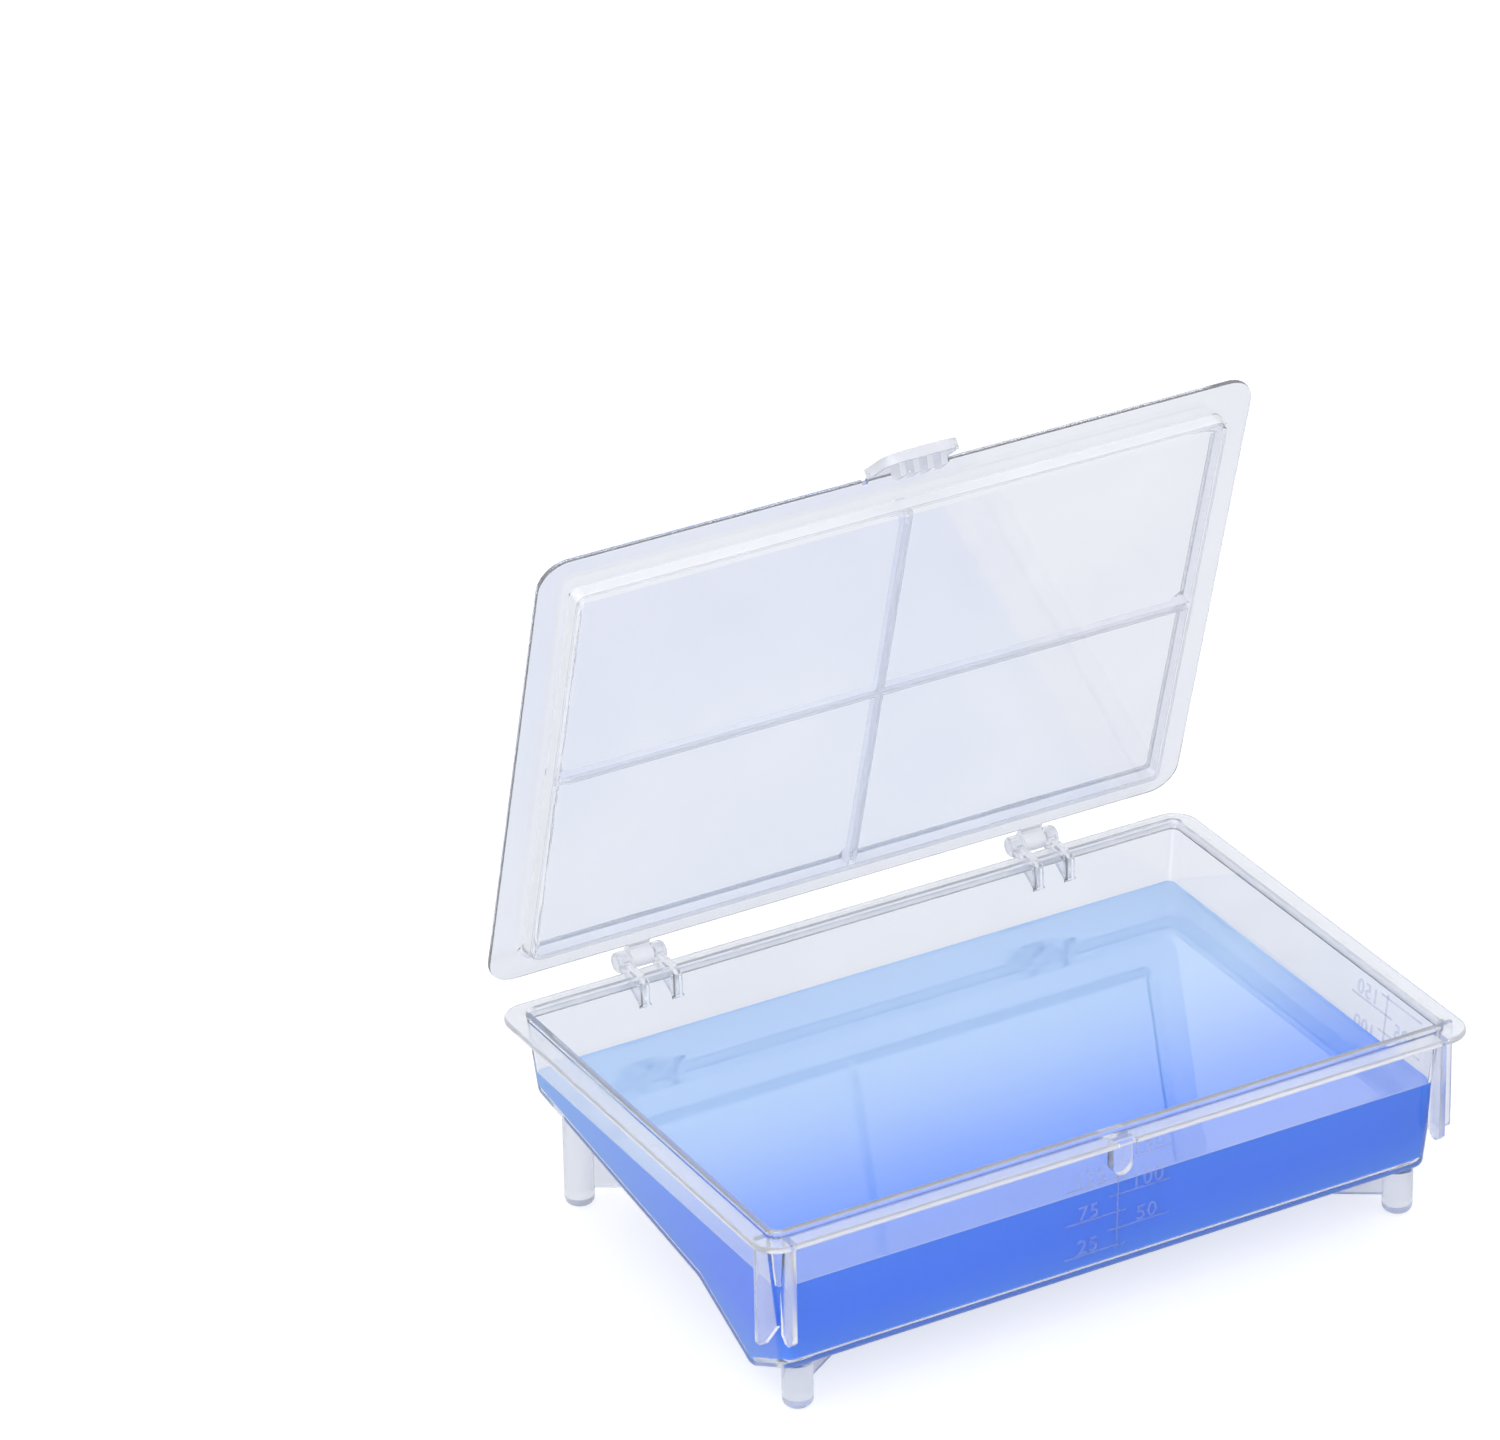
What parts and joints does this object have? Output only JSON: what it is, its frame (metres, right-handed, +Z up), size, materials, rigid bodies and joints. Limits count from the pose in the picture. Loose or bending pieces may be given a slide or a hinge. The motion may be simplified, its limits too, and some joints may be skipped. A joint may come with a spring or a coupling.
{
  "type": "reagent reservoir",
  "caption": "Rectangular clear plastic laboratory reservoir on round feet, with a sloping floor, a front trough and a hinged lid with a latch flap.",
  "frame": {"origin": "centre of the box around the part as it stands with its lid open, on the surface its feet stand on; the middle of the tray's mouth is 2.23 mm in front of it", "axes": "+X along the long side, +Y from the trough and latch side to the hinge side, +Z up"},
  "size_m": [0.1278, 0.09, 0.1262],
  "materials": {
    "clear_plastic_tray": "gloss",
    "clear_plastic_lid": "gloss",
    "clear_plastic_flap": "gloss"
  },
  "bodies": {
    "tray": {"tray": "clear_plastic_tray"},
    "lid": {"lid": "clear_plastic_lid"},
    "latch_flap": {"latch_flap": "clear_plastic_flap"}
  },
  "joints": [
    {"name": "lid_hinge", "type": "hinge", "parent": "tray", "child": "lid", "pos_m": [0, 0.04307, 0.0337], "axis": [-1, 0, 0], "range_deg": [-74.6, 105.4]},
    {"name": "latch_hinge", "type": "hinge", "parent": "lid", "child": "latch_flap", "pos_m": [0, 0.02017, 0.1204], "axis": [-1, 0, 0], "range_deg": [-54, 36]}
  ]
}
